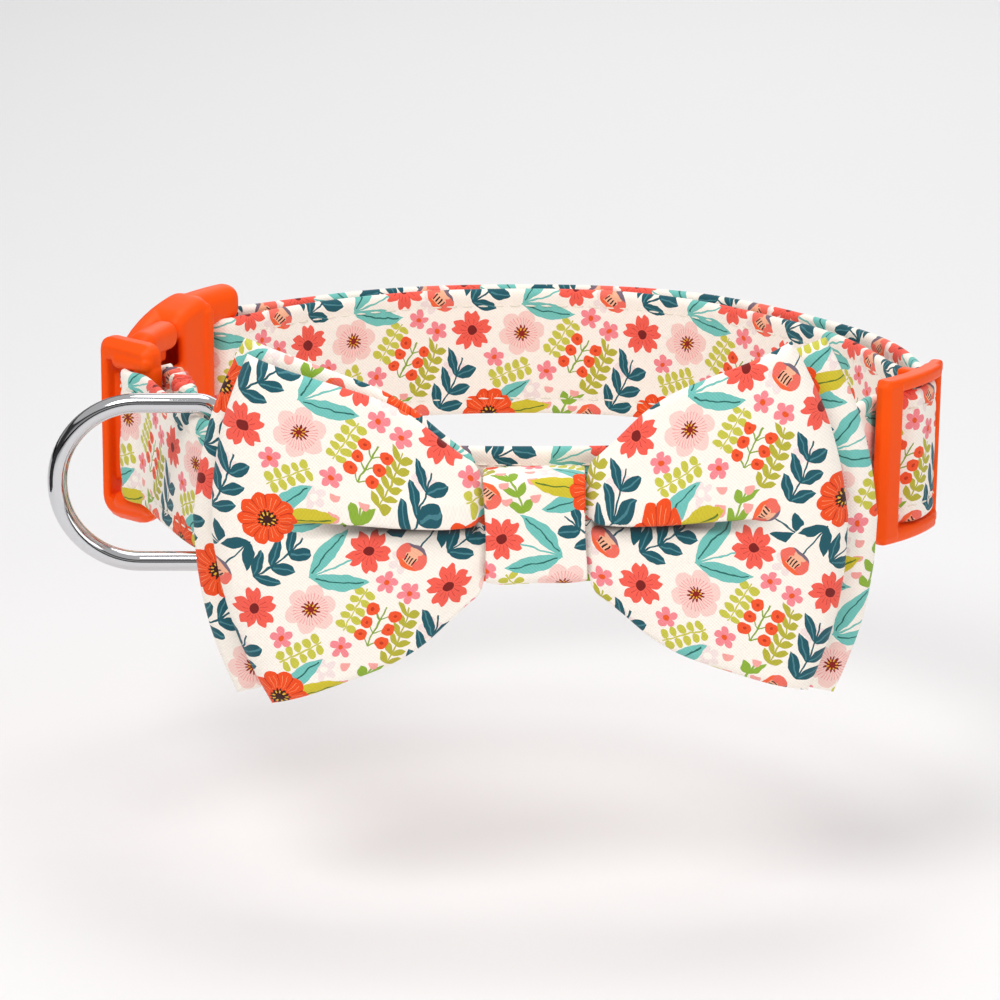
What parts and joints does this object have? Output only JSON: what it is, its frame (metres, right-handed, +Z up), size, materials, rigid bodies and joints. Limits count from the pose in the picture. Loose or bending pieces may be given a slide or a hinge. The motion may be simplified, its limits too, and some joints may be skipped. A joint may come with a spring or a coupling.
{
  "type": "pet bow tie collar",
  "caption": "Adjustable printed cloth pet collar with a curved side-release buckle, slider, D-ring and a layered bow tie held on by elastic bands.",
  "frame": {"origin": "middle of the neck loop, halfway up the strap", "axes": "+Z up through the neck loop, +X to the right seen from the bow, -Y towards the bow"},
  "size_m": [0.1641, 0.1267, 0.0671],
  "materials": {
    "printed_cloth": "woven cotton, small flower print",
    "orange_plastic": "moulded, satin",
    "chromed_steel": "polished",
    "elastic": "plain woven elastic"
  },
  "bodies": {
    "collar": {"strap": "printed_cloth", "buckle_socket": "orange_plastic", "buckle_insert": "orange_plastic", "slider": "orange_plastic", "elastic_left": "elastic", "elastic_right": "elastic", "bow_back": "printed_cloth", "bow_front": "printed_cloth", "bow_knot": "printed_cloth"},
    "ring": {"d_ring": "chromed_steel"}
  },
  "joints": [
    {"name": "ring_swing", "type": "hinge", "parent": "collar", "child": "ring", "pos_m": [-0.054, -0.037, 0], "axis": [0, 0, 1], "range_deg": [-35, 45]}
  ]
}
